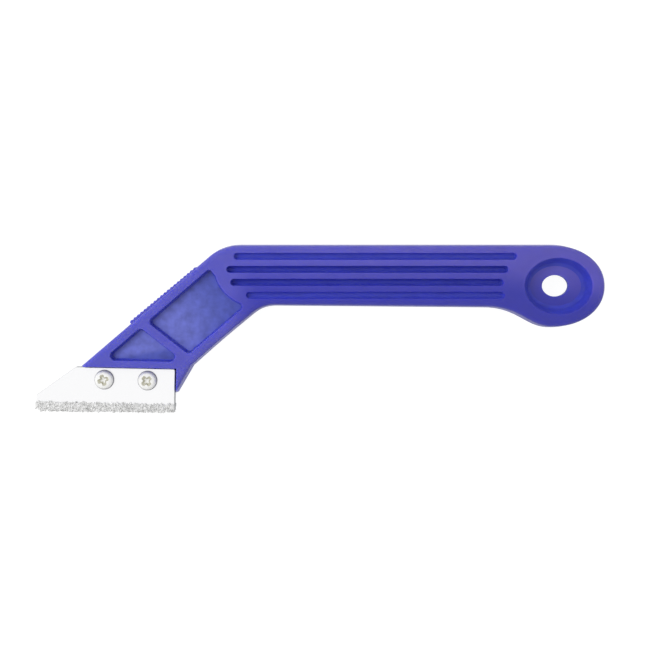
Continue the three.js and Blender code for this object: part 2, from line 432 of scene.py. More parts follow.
def corner_arc(before, corner, after, radius):
    """The round that replaces one corner between its neighbours"""
    back = (before - corner).normalized()
    forth = (after - corner).normalized()
    half_angle = back.angle(forth) / 2
    centre = corner + (back + forth).normalized() * (radius / math.sin(half_angle))
    start = corner + back * (radius / math.tan(half_angle))
    side = 1 if back.cross(forth) > 0 else -1
    sweep = (2 * half_angle - math.pi) * side
    steps = max(2, math.ceil(abs(sweep) / turn_step))
    return [centre + turned(start - centre, sweep * i / steps) for i in range(steps + 1)]


def rounded(corners, radius):
    """An outline with every corner rounded"""
    points = []
    for i, corner in enumerate(corners):
        points += corner_arc(corners[i - 1], corner, corners[(i + 1) % len(corners)], radius)
    return points


def on_ellipse(centre, half_length, half_height, angle):
    return centre + Vector((half_length * math.cos(angle), half_height * math.sin(angle)))


def ellipse(centre, half_length, half_height, steps=lobe_hole_steps):
    turn = 2 * math.pi / steps
    return [on_ellipse(centre, half_length, half_height, turn * i) for i in range(steps)]


def grown(points, by):
    """The same outline, that much larger all round"""
    count = len(points)
    area = sum(points[i - 1].cross(points[i]) for i in range(count))
    side = 1 if area > 0 else -1
    larger = []
    for i, point in enumerate(points):
        arriving = (point - points[i - 1]).normalized()
        leaving = (points[(i + 1) % count] - point).normalized()
        outward = turned(arriving + leaving, -side * math.pi / 2).normalized()
        larger.append(point + outward * (by / math.cos(arriving.angle(leaving) / 2)))
    return larger


# Making solids


def line(name, places, closed):
    """A line through places, drawn as a curve and made a mesh"""
    curve = bpy.data.curves.new(name, "CURVE")
    curve.dimensions = "3D"
    spline = curve.splines.new("POLY")
    spline.points.add(len(places) - 1)
    for knot, place in zip(spline.points, places):
        knot.co = (*place, 1)
    spline.use_cyclic_u = closed
    piece = bpy.data.objects.new(name, curve)
    bpy.context.collection.objects.link(piece)
    only(piece)
    bpy.ops.object.convert(target="MESH")
    return piece


def drawn(name, points, level, material):
    """An outline at a height, filled with one face that looks up"""
    piece = line(name, [(point.x, point.y, level) for point in points], closed=True)
    piece.data.materials.append(material)
    edit(piece, "EDGE")
    bpy.ops.mesh.edge_face_add()
    done()
    if piece.data.polygons[0].normal.z < 0:
        piece.data.flip_normals()
    return piece


def block(name, points, low, high, material):
    """An outline with straight walls, from one height to another"""
    piece = drawn(name, points, low, material)
    edit(piece)
    bpy.ops.mesh.extrude_region_move(TRANSFORM_OT_translate={"value": (0, 0, high - low)})
    outside_out()
    return piece


def turned_on_lathe(name, profile, material):
    """A turned piece: its profile, from axis to axis, spun about Z"""
    piece = line(name, [(out, 0, up) for out, up in profile], closed=False)
    piece.data.materials.append(material)
    edit(piece, "EDGE")
    bpy.ops.mesh.spin(steps=bolt_steps, angle=2 * math.pi, axis=(0, 0, 1), center=(0, 0, 0))
    outside_out()
    return piece


def quarter_round(radius, from_flat=False, steps=rim_steps):
    """Rings of a quarter round: how far in and how far along each lies from the one before"""
    if radius == 0:
        return []
    turns = [math.pi / 2 * i / steps for i in range(steps + 1)]
    inward = [radius * (math.sin(t) if from_flat else 1 - math.cos(t)) for t in turns]
    along = [radius * (1 - math.cos(t) if from_flat else math.sin(t)) for t in turns]
    return [(inward[i + 1] - inward[i], along[i + 1] - along[i]) for i in range(steps)]


def rings(steps, way=1):
    """Takes the chosen face on by rings, each so far in and so far along, up or down"""
    for inward, along in steps:
        bpy.ops.mesh.inset(thickness=inward, depth=way * along, use_even_offset=True)


def finish_chosen(piece, index):
    """Gives the chosen face another of the piece's finishes, which rings taken on from it keep"""
    piece.active_material_index = index
    bpy.ops.object.material_slot_assign()


def recess(name, points, depth, rim, draft, foot, walls, floor, level=half_thickness, fall=(0, 0)):
    """A cutter for a moulded recess: round rim, leaning wall, round foot, and a floor that may fall"""
    piece = drawn(name, grown(points, rim), level + overrun, plastic)
    piece.data.materials.append(walls)
    piece.data.materials.append(floor)
    edit(piece)
    bpy.ops.mesh.extrude_region_move(TRANSFORM_OT_translate={"value": (0, 0, skin - overrun)})
    rings(quarter_round(rim, from_flat=True), way=-1)
    finish_chosen(piece, 1)
    rings([(draft, depth - rim - foot), *quarter_round(foot)], way=-1)
    finish_chosen(piece, 2)
    if any(fall):
        rings([fall], way=-1)
    outside_out()
    return piece


def mirrored(piece):
    """Adds the other half of a piece, below the mid-plane"""
    mirror = piece.modifiers.new("other half", "MIRROR")
    mirror.use_axis = (False, False, True)
    mirror.merge_threshold = skin
    finish_modifier(piece, mirror)
    edit(piece)
    outside_out()
    return piece


def turned_over(piece):
    """Mirrors a piece about the mid-plane"""
    edit(piece)
    bpy.ops.transform.resize(value=(1, 1, -1), center_override=(0, 0, 0))
    outside_out()
    return piece


def joined(pieces):
    only(*pieces)
    bpy.ops.object.join()
    return pieces[0]


def carve(piece, cutter, operation="DIFFERENCE"):
    """Cuts one piece by another, or adds or keeps what both share, and takes the cutter away"""
    modifier = piece.modifiers.new("carve", "BOOLEAN")
    modifier.operation = operation
    modifier.solver = "EXACT"
    modifier.material_mode = "TRANSFER"
    modifier.object = cutter
    finish_modifier(piece, modifier)
    if len(piece.data.polygons) < fewest_faces:
        raise ValueError(f"{cutter.name} leaves nothing of {piece.name}")
    bpy.data.objects.remove(cutter)


def finish_faces(piece, material, test):
    """Gives a finish to the faces of a piece that a test picks"""
    piece.data.materials.append(material)
    for face in piece.data.polygons:
        if test(face):
            face.material_index = len(piece.data.materials) - 1


def smoothed(piece, crease):
    """Soft shading inside rounds, and flat shading on large faces"""
    only(piece)
    bpy.ops.object.shade_smooth_by_angle(angle=crease)
    modifier = piece.modifiers.new("flat faces stay flat", "WEIGHTED_NORMAL")
    modifier.keep_sharp = True
    finish_modifier(piece, modifier)


def set_in_place(piece, place, node, body):
    """Brings a finished piece to metres on the frame, where it stands for its CAD node"""
    piece.matrix_world = place
    only(piece)
    bpy.ops.object.transform_apply(location=True, rotation=True, scale=True)
    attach(piece, body)
    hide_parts(node)


# Finishes


def colour(code):
    """A colour written as an sRGB hex value, made linear"""
    parts = [int(code[i:i + 2], 16) / 255 for i in (1, 3, 5)]
    return [p / 12.92 if p <= 0.04045 else ((p + 0.055) / 1.055) ** 2.4 for p in parts] + [1]


def add(tree, kind, settings=None, ordered=(), **named):
    """Adds a shader node with its settings, and links or values for its inputs, in order or by name"""
    node = tree.nodes.new("ShaderNode" + kind)
    for name, value in (settings or {}).items():
        setattr(node, name, value)
    wanted = list(zip(node.inputs, ordered))
    wanted += [(node.inputs[name.replace("_", " ")], value) for name, value in named.items()]
    for socket, value in wanted:
        if isinstance(value, bpy.types.NodeSocket):
            tree.links.new(value, socket)
        else:
            socket.default_value = value
    return node


def finish(name, **settings):
    """A new material with its shader's own sockets set, ready for its pattern"""
    material = bpy.data.materials.new(name)
    material.use_nodes = True
    tree = material.node_tree
    shader = tree.nodes["Principled BSDF"]
    for socket, value in settings.items():
        shader.inputs[socket.replace("_", " ")].default_value = value
    return material, tree, shader


def patches(size):
    """The noise scale whose patches are about as large as a size in millimetres"""
    return 1 / (size * millimetre)


def moulded_polypropylene():
    """Moulded polypropylene: waxy and a little see-through, so light leaks blue into its recesses.
    The tint drifts from clear blue at the nose to a warmer blue at the lobe, and painted shade
    deepens it along the lower half of the grip. Flow marks and mould grain keep large faces from
    looking printed, and the grain is drawn coarser than real so that it shows."""
    material, tree, shader = finish("moulded polypropylene", Roughness=0.4, **see_through)
    place = add(tree, "TexCoord").outputs["Object"]
    parts = add(tree, "SeparateXYZ", Vector=place).outputs
    to_lobe = add(tree, "MapRange", Value=parts["X"], From_Min=handle_low.x, From_Max=handle_high.x)
    tint = add(tree, "MixRGB", ordered=[to_lobe.outputs[0], colour("#4e50b7"), colour("#5b54b9")])
    past_bend = add(
        tree, "MapRange", {"interpolation_type": "SMOOTHSTEP"}, Value=parts["X"],
        From_Min=bend_place.x, From_Max=bend_place.x + painted_shade_run * millimetre)
    lobe_lift = add(
        tree, "MapRange", Value=parts["X"],
        From_Min=handle_high.x - 2 * lobe_half_length * millimetre, From_Max=handle_high.x,
        To_Min=0, To_Max=painted_shade_drop * millimetre)
    lifted = add(tree, "Math", {"operation": "ADD"}, [parts["Y"], lobe_lift.outputs[0]])
    down_grip = add(
        tree, "MapRange", {"interpolation_type": "SMOOTHSTEP"}, Value=lifted.outputs[0],
        From_Min=bend_place.y - deep_tint_end * millimetre,
        From_Max=bend_place.y - painted_shade_start * millimetre, To_Min=1, To_Max=0)
    deep = add(tree, "Math", {"operation": "MULTIPLY"}, [past_bend.outputs[0], down_grip.outputs[0]])
    # Painted shade: past the bend, the lower half of the grip is mixed towards a deep blue
    tint = add(tree, "MixRGB", ordered=[deep.outputs[0], tint.outputs[0], colour("#2f30a8")])
    marks = add(tree, "TexNoise", Vector=place, Scale=patches(flow_mark))
    flow = add(tree, "MapRange", Value=marks.outputs["Fac"], To_Min=1 - flow_share, To_Max=1 + flow_share)
    body = add(tree, "VectorMath", {"operation": "SCALE"}, [tint.outputs[0]], Scale=flow.outputs[0])
    tree.links.new(body.outputs[0], shader.inputs["Base Color"])
    grain = add(tree, "TexNoise", Vector=place, Scale=patches(mould_grain))
    bump = add(
        tree, "Bump", Strength=mould_grain_strength, Distance=mould_grain_depth * millimetre,
        Height=grain.outputs["Fac"])
    tree.links.new(bump.outputs[0], shader.inputs["Normal"])
    return material


def polypropylene_with_painted_glow():
    """The same plastic inside its recesses: duller, and painted darker and bluer than the faces, as
    painted shade with a painted glow for the light that has come through the moulding onto these walls.
    Flow marks run along the grooves."""
    material, tree, shader = finish("moulded polypropylene in recesses, painted glow and shade", Roughness=0.6, **see_through)
    place = add(tree, "TexCoord").outputs["Object"]
    drawn_out = add(tree, "Mapping", Vector=place, Scale=(1 / groove_mark_stretch, 1, 1))
    marks = add(tree, "TexNoise", Vector=drawn_out.outputs[0], Scale=patches(groove_mark))
    flow = add(
        tree, "MapRange", Value=marks.outputs["Fac"],
        To_Min=1 - groove_mark_share, To_Max=1 + groove_mark_share)
    # Painted shade and painted blue glow in the recess colour
    body = add(tree, "VectorMath", {"operation": "SCALE"}, [colour("#3a42ba")[:3]], Scale=flow.outputs[0])
    tree.links.new(body.outputs[0], shader.inputs["Base Color"])
    return material


def satin_floor_with_painted_light(name, painted_light_end, dark_end):
    """The same plastic where the mould was left matt: cloudy, and paler and greyer than the faces at one
    place on the handle's drawing, as painted sheen. It darkens with painted shade from there to another
    place."""
    material, tree, shader = finish(name, Roughness=0.55)
    place = add(tree, "TexCoord").outputs["Object"]
    start = handle_place @ painted_light_end.to_3d()
    line_across = handle_place @ dark_end.to_3d() - start
    from_start = add(tree, "VectorMath", {"operation": "SUBTRACT"}, [place, start])
    across = add(
        tree, "VectorMath", {"operation": "DOT_PRODUCT"},
        [from_start.outputs[0], line_across / line_across.length_squared])
    painted_light_to_shade = add(tree, "MapRange", {"interpolation_type": "SMOOTHSTEP"}, Value=across.outputs["Value"])
    # Painted sheen at the pale end, painted shade at the dark end
    tint = add(tree, "MixRGB", ordered=[painted_light_to_shade.outputs[0], colour("#5f66b7"), colour("#4650a4")])
    clouds = add(tree, "TexNoise", Vector=place, Scale=patches(cloud_size), Detail=cloud_detail)
    cloud = add(
        tree, "MapRange", Value=clouds.outputs["Fac"], From_Min=noise_low, From_Max=noise_high,
        To_Min=1 - cloud_share, To_Max=1 + cloud_share)
    body = add(tree, "VectorMath", {"operation": "SCALE"}, [tint.outputs[0]], Scale=cloud.outputs[0])
    tree.links.new(body.outputs[0], shader.inputs["Base Color"])
    ripples = add(tree, "TexNoise", Vector=place, Scale=patches(ripple_size))
    bump = add(
        tree, "Bump", Strength=ripple_strength, Distance=ripple_depth * millimetre,
        Height=ripples.outputs["Fac"])
    tree.links.new(bump.outputs[0], shader.inputs["Normal"])
    return material


def bright_plated_sheet():
    """Sheet steel under a bright plating: nearly as white as the paper round it, with rolling marks
    along the blade that are drawn coarser than real so that they show at all."""
    material, tree, shader = finish(
        "bright plated sheet steel", Base_Color=colour("#fcfcfd"), Metallic=1, Roughness=0.34)
    place = add(tree, "TexCoord").outputs["Object"]
    stretched = add(
        tree, "Mapping", Vector=place, Rotation=(0, 0, -seat_tilt),
        Scale=(patches(roll_mark_length), patches(roll_mark_spacing), patches(roll_mark_spacing)))
    marks = add(tree, "TexNoise", Vector=stretched.outputs[0], Scale=1)
    bump = add(
        tree, "Bump", Strength=roll_mark_strength, Distance=roll_mark_depth * millimetre,
        Height=marks.outputs["Fac"])
    tree.links.new(bump.outputs[0], shader.inputs["Normal"])
    return material


def brazed_carbide(name, dark, pale):
    """Broken carbide in a silvery braze: each grain catches the light its own way, so the band is
    beaded with pale and darker greys."""
    material, tree, shader = finish(name, Metallic=0.2, Roughness=0.55)
    place = add(tree, "TexCoord").outputs["Object"]
    specks = add(tree, "TexNoise", Vector=place, Scale=patches(carbide_speck))
    spread = add(
        tree, "MapRange", Value=specks.outputs["Fac"], From_Min=noise_low, From_Max=noise_high)
    body = add(tree, "MixRGB", ordered=[spread.outputs[0], colour(dark), colour(pale)])
    tree.links.new(body.outputs[0], shader.inputs["Base Color"])
    return material


plastic = moulded_polypropylene()
walls_with_painted_glow = polypropylene_with_painted_glow()
big_pocket_floor = satin_floor_with_painted_light(
    "satin polypropylene, big pocket floor", on_neck(*big_floor_painted_light), on_neck(*big_floor_painted_shade))
small_pocket_floor = satin_floor_with_painted_light(
    "satin polypropylene, small pocket floor", on_neck(*small_floor_painted_light), on_neck(*small_floor_painted_shade))
steel = bright_plated_sheet()
carbide = brazed_carbide("brazed carbide grit", "#cfcfce", "#ebebeb")
# Painted shade: a darker copy of the grit for grain faces that look downwards
carbide_with_painted_shade = brazed_carbide("brazed carbide grit with painted shade on its underside", "#a2a2a0", "#bcbcba")

# Steel where the shears cut it bare: greyer than the plating, with painted shade, so it draws a thin line
# round a blade
sheared_steel_with_painted_shade = finish("sheared steel edge with painted shade", Base_Color=colour("#b2b4b4"), Metallic=0.5, Roughness=0.5)[0]

# Zinc plate: nearly white on top of a screw, painted shade in dull grey under the head's edge, and yellowish
# with painted shade in the recess
zinc = finish("bright zinc plate", Base_Color=colour("#ececea"), Metallic=0.4, Roughness=0.55)[0]
skirt_zinc_painted_shade = finish("zinc with painted shade at the head's skirt", Base_Color=colour("#9a9a9e"), Roughness=0.7)[0]
recess_zinc_painted_shade = finish(
    "yellowish zinc with painted shade in the cross recess", Base_Color=colour("#c4c2b2"), Metallic=0.5, Roughness=0.5)[0]


# Handle


def hollow_edge(start, end, sag):
    """A straight edge that curves in a little between its ends"""
    inward = turned(end - start, math.pi / 2).normalized()
    shares = [i / hollow_steps for i in range(1, hollow_steps)]
    return [between(start, end, s) - inward * (sag * math.sin(math.pi * s)) for s in shares]


def lobe_edge(turn):
    """A place on the lobe's edge"""
    length_share, height_share = [
        math.copysign(abs(share) ** (2 / lobe_fullness), share)
        for share in (math.cos(turn), math.sin(turn))
    ]
    return lobe_centre + Vector((lobe_half_length * length_share, lobe_half_height * height_share))


def lobe_arc():
    """Round the lobe, from its top to where the fairing leaves it"""
    sweep = fairing_angle - math.pi / 2
    steps = math.ceil(-sweep / lobe_step)
    return [lobe_edge(math.pi / 2 + sweep * i / steps) for i in range(steps + 1)]


fairing_start = Vector((grip_length - fairing_length, -grip_height_at_lobe))


def fairing():
    """The lobe's edge runs on into the lower edge of the grip as one S curve"""
    before_end, end = lobe_arc()[-2:]
    knots = [
        end,
        end + (end - before_end).normalized() * fairing_trail,
        fairing_start + Vector((fairing_lead, 0)),
        fairing_start,
    ]
    points = []
    for i in range(1, curve_steps + 1):
        row = knots
        while len(row) > 1:
            row = [between(a, b, i / curve_steps) for a, b in zip(row, row[1:])]
        points += row
    return points


def handle_outline():
    """The whole handle from above, clockwise from the bend, with the tongue under the blades"""
    throat_along = (grip_height_at_neck + lower_edge.y) / math.sin(neck_angle)
    throat = on_neck(throat_along, neck_width)
    kink = at_depth(lower_edge, down_neck, -heel_rise)
    heel_tip = on_seat(seat_length, heel_depth)
    tongue_heel = on_seat(seat_length - tongue_heel_length, tongue_depth)
    tongue_toe = at_depth(bend, down_neck, tongue_depth)
    throat_arc = corner_arc(fairing_start, throat, kink, throat_radius)
    kink_arc = corner_arc(throat, kink, heel_tip, heel_kink_radius)
    return [
        *corner_arc(tongue_toe, bend, lobe_top, bend_radius),
        *lobe_arc(),
        *fairing(),
        *throat_arc,
        *hollow_edge(throat_arc[-1], kink_arc[0], neck_hollow),
        *kink_arc,
        heel_tip,
        tongue_heel,
        *corner_arc(tongue_heel, tongue_toe, bend, tongue_toe_radius),
    ]


def handle_blank():
    """Half the moulding, from its parting line up to its flat face, and then the other half"""
    crown_rise = sum(rise for _, rise in crown_rings)
    side_height = half_thickness - seam_height - rim_radius - crown_rise
    piece = drawn("handle_shell", grown(handle_outline(), wall_bulge), 0, plastic)
    edit(piece)
    rings([(0, seam_height), (seam_width, 0), (side_draft, side_height)])
    rings([*quarter_round(rim_radius), *crown_rings])
    outside_out()
    return mirrored(piece)


def thumb_rest():
    """A strip of fine pointed teeth on the neck's upper edge, rooted inside the neck"""
    points = [on_neck(rest_start, rest_root)]
    for i in range(2 * tooth_count + 1):
        share = i / (2 * tooth_count)
        rise = rest_rise_by_bend + (rest_rise_by_nose - rest_rise_by_bend) * share
        notch = 0 if i % 2 else tooth_height
        points.append(on_neck(rest_start + rest_length * share, notch - rise))
    points.append(on_neck(rest_start + rest_length, rest_root))
    piece = drawn("thumb_rest", points, 0, plastic)
    edit(piece)
    rings([(0, half_thickness - rim_radius - tooth_end), (tooth_end / 2, tooth_end)])
    outside_out()
    return mirrored(piece)


def step_cut():
    """What is taken away over the tongue, with the sharp tip of the nose, so that the blades fit in"""
    reach = neck_length
    points = [
        on_seat(seat_length, 0),
        on_seat(seat_length, reach),
        on_seat(-reach, reach),
        on_seat(-reach, -nose_blunt),
        on_seat(nose_blunt, -nose_blunt),
        on_seat(nose_blunt, 0),
    ]
    return recess("step", points, half_thickness, step_rim, step_draft, step_foot, plastic, plastic)


def groove_cuts():
    """Four grooves with round ends and round bottoms, the middle two deeper"""
    radius = groove_height / 2
    last = len(groove_start_shares) - 1
    top = -groove_upper_border - radius
    bottom = groove_lower_border + radius - grip_height_at_neck
    turns = [math.pi / 2 + math.pi * k / groove_end_steps for k in range(groove_end_steps + 1)]
    cutters = []
    for i, (start_share, end_share) in enumerate(zip(groove_start_shares, groove_end_shares)):
        y = top + (bottom - top) * i / last
        left = Vector((grip_length * start_share + radius, y))
        right = Vector((grip_length * end_share - radius, y))
        points = [on_ellipse(left, radius, radius, t) for t in turns]
        points += [on_ellipse(right, radius, radius, t + math.pi) for t in turns]
        depth = groove_depth_inner if 0 < i < last else groove_depth_outer
        cutters.append(recess(
            "groove", points, depth, groove_rim, groove_draft, groove_foot, walls_with_painted_glow, walls_with_painted_glow))
    return cutters


def meets_circle(start, direction, centre, radius):
    """Where a line first meets a circle"""
    to_start = start - centre
    half = direction.dot(to_start)
    return start - direction * (half + math.sqrt(half * half - to_start.length_squared + radius * radius))


def pocket_cuts():
    """The big pocket runs from the end of the grip to the rib, and the small one from there to the nose"""
    lower_border = neck_width - neck_lower_border
    rib = turned(into_neck, rib_lean)
    rib_upper = on_neck(neck_length - rib_to_nose, neck_border)
    rib_lower = rib_upper + rib * ((lower_border - neck_border) / math.cos(rib_lean))
    foot_upper = rib_upper + down_neck * (rib_width / math.cos(rib_lean))
    grip_end = Vector((grip_end_inset, -grip_end_drop))
    corner = on_neck(pocket_start, neck_border)
    arc_start = meets_circle(corner, into_neck, grip_end, grip_end_radius)
    arc_end = meets_circle(rib_lower, -down_neck, grip_end, grip_end_radius)
    first, last = [
        (place - grip_end).angle_signed(Vector((1, 0)))
        for place in (arc_start, arc_end)
    ]
    arc = [
        on_ellipse(grip_end, grip_end_radius, grip_end_radius, first + (last - first) * i / grip_end_steps)
        for i in range(grip_end_steps)
    ]
    big = [
        *corner_arc(rib_upper, corner, arc_start, pocket_bend_radius),
        *arc[:-1],
        *corner_arc(arc[-1], arc_end, rib_lower, pocket_throat_radius),
        *corner_arc(arc_end, rib_lower, rib_upper, pocket_corner_radius),
        *corner_arc(rib_lower, rib_upper, corner, pocket_corner_radius),
    ]
    small = rounded([
        foot_upper,
        at_depth(foot_upper, rib, -nose_border),
        at_depth(foot_upper, down_neck, -nose_border),
    ], pocket_corner_radius)
    sizes = (pocket_depth, pocket_rim, pocket_draft, pocket_foot)
    return [
        recess("big_pocket", big, *sizes, walls_with_painted_glow, big_pocket_floor),
        recess("small_pocket", small, *sizes, walls_with_painted_glow, small_pocket_floor),
    ]


def dish_cut():
    points = ellipse(dish_centre, dish_half_length, lobe_half_height - dish_side_border)
    sizes = (dish_depth, dish_rim, dish_draft, dish_foot)
    return recess("dish", points, *sizes, walls_with_painted_glow, plastic, fall=dish_fall)


def hanging_hole():
    """The hole through the web, with round rims, narrowing from both faces to the parting line"""
    points = grown(ellipse(dish_centre, hole_half_length, hole_half_height), hole_rim)
    piece = drawn("hanging_hole", points, web_half_thickness + overrun, walls_with_painted_glow)
    edit(piece)
    bpy.ops.mesh.extrude_region_move(TRANSFORM_OT_translate={"value": (0, 0, skin - overrun)})
    wall = (hole_draft, web_half_thickness + skin - hole_rim)
    rings([*quarter_round(hole_rim, from_flat=True), wall], way=-1)
    bpy.ops.mesh.delete(type="FACE")
    outside_out()
    return mirrored(piece)


# Where the screws stand in the handle's drawing
screw_places = [(handle_place.inverted() @ axis).to_2d() for axis in screw_axes.values()]


def screw_holes():
    """Round holes down through the tongue"""
    radius = screw_radius + shank_clearance
    depth = half_thickness + overrun
    return [
        recess(
            "screw_hole", ellipse(place, radius, radius, bolt_steps),
            depth, hole_edge, 0, 0, plastic, plastic, level=0)
        for place in screw_places
    ]


def nut_pockets():
    """Six-sided pockets in the back, under the screws"""
    reach = (nut_flats + 2 * nut_clearance) / math.sqrt(3)
    depth = nut_sink + nut_thickness
    pockets = []
    for place in screw_places:
        corners = [place + turned(corner, seat_tilt) for corner in ellipse(bend, reach, reach, nut_sides)]
        pocket = recess("nut_pocket", corners, depth, hole_edge, 0, 0, plastic, plastic)
        pockets.append(turned_over(pocket))
    return pockets


def handle():
    """One moulding, the same on its front and back but for the step and the nut pockets"""
    piece = handle_blank()
    carve(piece, thumb_rest(), "UNION")
    carve(piece, step_cut())
    for cutter in [*groove_cuts(), *pocket_cuts(), dish_cut()]:
        carve(piece, mirrored(cutter))
    carve(piece, hanging_hole())
    carve(piece, joined(screw_holes()))
    carve(piece, joined(nut_pockets()))
    smoothed(piece, moulding_crease)
    set_in_place(piece, handle_place, "handle", "saw")


# Blades


blade_corners = [
    Vector((0, 0)),
    Vector((0, -blade_height)),
    Vector((-blade_length, -blade_height)),
    Vector((-blade_length, blade_toe_height - blade_height)),
    Vector((-blade_top_length, 0)),
]


def blade(node, height):
    """A stamped plate with softened edges and two screw holes"""
    piece = drawn(node + "_plate", rounded(blade_corners, blade_corner_radius), 0, steel)
    edit(piece)
    rings([(0, blade_thickness / 2 - blade_edge), *quarter_round(blade_edge, steps=edge_steps)])
    outside_out()
    mirrored(piece)
    # Painted shade: the sheared edges greyer than the plated faces
    finish_faces(piece, sheared_steel_with_painted_shade, lambda face: abs(face.normal.z) < sheared_edge_limit)
    radius = screw_radius + shank_clearance
    heel_hole = Vector((-heel_screw_inset, -screw_drop))
    toe_hole = heel_hole - Vector((screw_line.length / millimetre, 0))
    carve(piece, joined([
        block("hole", ellipse(place, radius, radius, bolt_steps), -overrun, overrun, steel)
        for place in (toe_hole, heel_hole)
    ]))
    smoothed(piece, plate_crease)
    middle = tongue_thickness + height + blade_thickness / 2
    set_in_place(piece, at_height(blade_origin, middle, seat_tilt), node, "saw")


# Grit: drawn with the blade's inner face at height zero


def wandering(along):
    """How far an edge of the grit wanders at a place along the blade"""
    return grit_wander * noise.noise(Vector((along / grit_wander_length, 0, 0)))


def grit_top(along):
    return grit_band - blade_height + wandering(along)


def grit_bottom(along):
    """The grit's lower edge hangs further over the blade towards the toe, and ends there in a round"""
    share = -along / blade_length
    overhang = grit_overhang_at_heel + (grit_overhang_at_toe - grit_overhang_at_heel) * share
    to_toe = along + blade_length + grit_toe_overhang
    rise = max(0, grit_toe_round - to_toe)
    return rise - blade_height - overhang + wandering(along + blade_length) / 2


def braze(name):
    """The brazed layer that holds the grains, wrapped round the blade's lower edges"""
    toe = -blade_length - grit_toe_overhang
    stops = [toe * i / grit_steps for i in range(grit_steps + 1)]
    points = [Vector((along, grit_top(along))) for along in stops]
    points += [Vector((along, grit_bottom(along))) for along in reversed(stops)]
    layer = block(name, points, 0, blade_thickness + braze_thickness, carbide)
    room = block("room", grown(blade_corners, skin), -overrun, blade_thickness + skin, carbide)
    carve(layer, room)
    return layer


def grain_shapes():
    """A few broken crystals, from which all the grit is copied"""
    shapes = []
    for kind in range(grain_kinds):
        bpy.ops.mesh.primitive_ico_sphere_add(subdivisions=1, radius=grain_size / 2)
        grain = bpy.context.object
        grain.data.materials.append(carbide)
        edit(grain, "VERT")
        bpy.ops.transform.vertex_random(
            offset=grain_size * grain_roughness_share, uniform=1, seed=kind + 1)
        done()
        shapes.append(grain)
    return shapes


def grain_spots():
    """Where grains sit: over the band, along the cutting edge, and up the toe"""
    face = blade_thickness + braze_thickness
    heel = -grain_size / 2
    toe = grain_size / 2 - blade_length - grit_toe_overhang
    up_edge = [grain_spacing * (i + 0.5) for i in range(round(blade_thickness / grain_spacing))]
    columns = round((heel - toe) / grain_spacing)
    spots = []
    for column in range(columns + 1):
        along = between(heel, toe, column / columns)
        top, bottom = grit_top(along), grit_bottom(along)
        rows = max(1, round((top - bottom) / grain_spacing))
        spots += [Vector((along, bottom + (top - bottom) * i / rows, face)) for i in range(rows + 1)]
        spots += [Vector((along, bottom, height)) for height in up_edge]
    for row in range(round((grit_band - grit_toe_round) / grain_spacing)):
        below = grit_top(toe) - grain_spacing * row
        spots += [Vector((toe, below, height)) for height in up_edge]
    return spots


def grit(node, seed, under=False):
    """One blade's grit: the brazed layer, and the grains that stand in it"""
    chance = random.Random(seed)
    layer = braze(node + "_grains")
    shapes = grain_shapes()
    grains = []
    for spot in grain_spots():
        grain = chance.choice(shapes).copy()
        grain.data = grain.data.copy()
        bpy.context.collection.objects.link(grain)
        grain.location = spot + Vector((
            chance.uniform(-grain_shift, grain_shift),
            chance.uniform(-grain_shift, grain_shift),
            chance.uniform(-grain_shift, 0),
        ))
        grain.rotation_euler = [chance.uniform(0, 2 * math.pi) for _ in range(3)]
        grain.scale = [chance.uniform(*grain_scales) for _ in range(3)]
        grains.append(grain)
    for shape in shapes:
        bpy.data.objects.remove(shape)
    piece = joined([layer, *grains])
    # Painted shade on the grain faces that look downwards
    finish_faces(piece, carbide_with_painted_shade, lambda face: face.normal.y < grain_underside)
    if under:
        turned_over(piece)
    smoothed(piece, grain_crease)
    middle = tongue_thickness + blade_thickness
    set_in_place(piece, at_height(blade_origin, middle, seat_tilt), node, "saw")


# Screws and nuts


def cross_recess():
    """A cutter for the cross: four round arms that narrow as they go down, and a point below them"""
    half = recess_span / 2
    arm = recess_width / 2
    quarter = [Vector((half, -arm)), Vector((half, arm)), Vector((arm, arm))]
    corners = [turned(corner, math.pi / 2 * turn) for turn in range(4) for corner in quarter]
    # The cross's walls get yellowish zinc with painted shade; its point stays bright zinc
    piece = drawn("cross_recess", rounded(corners, recess_corner), head_height + overrun, recess_zinc_painted_shade)
    edit(piece)
    narrowing = [(overrun, 1), (recess_depth, recess_taper_share), (recess_tip_depth, recess_tip_share)]
    for down, share in narrowing:
        bpy.ops.mesh.extrude_region_move(TRANSFORM_OT_translate={"value": (0, 0, -down)})
        bpy.ops.transform.resize(value=(share, share, 1), center_override=(0, 0, 0))
    outside_out()
    floor_height = head_height - recess_depth
    finish_faces(piece, zinc, lambda face: face.center.z < floor_height)
    return piece


def thread():
    """One ridge wound round the shank"""
    core = screw_radius - thread_depth
    root = thread_pitch * thread_root_share / 2
    crest = thread_pitch * thread_crest_share / 2
    start = 2 * screw_tip_chamfer - screw_length
    section = [
        (core - skin, 0, start - root),
        (screw_radius, 0, start - crest),
        (screw_radius, 0, start + crest),
        (core - skin, 0, start + root),
    ]
    piece = line("thread", section, closed=True)
    piece.data.materials.append(zinc)
    wind = piece.modifiers.new("wind", "SCREW")
    wind.screw_offset = thread_pitch
    wind.iterations = math.floor((-start - thread_runout - root) / thread_pitch)
    wind.steps = bolt_steps
    wind.render_steps = bolt_steps
    finish_modifier(piece, wind)
    edit(piece)
    bpy.ops.mesh.fill_holes(sides=0)
    outside_out()
    return piece


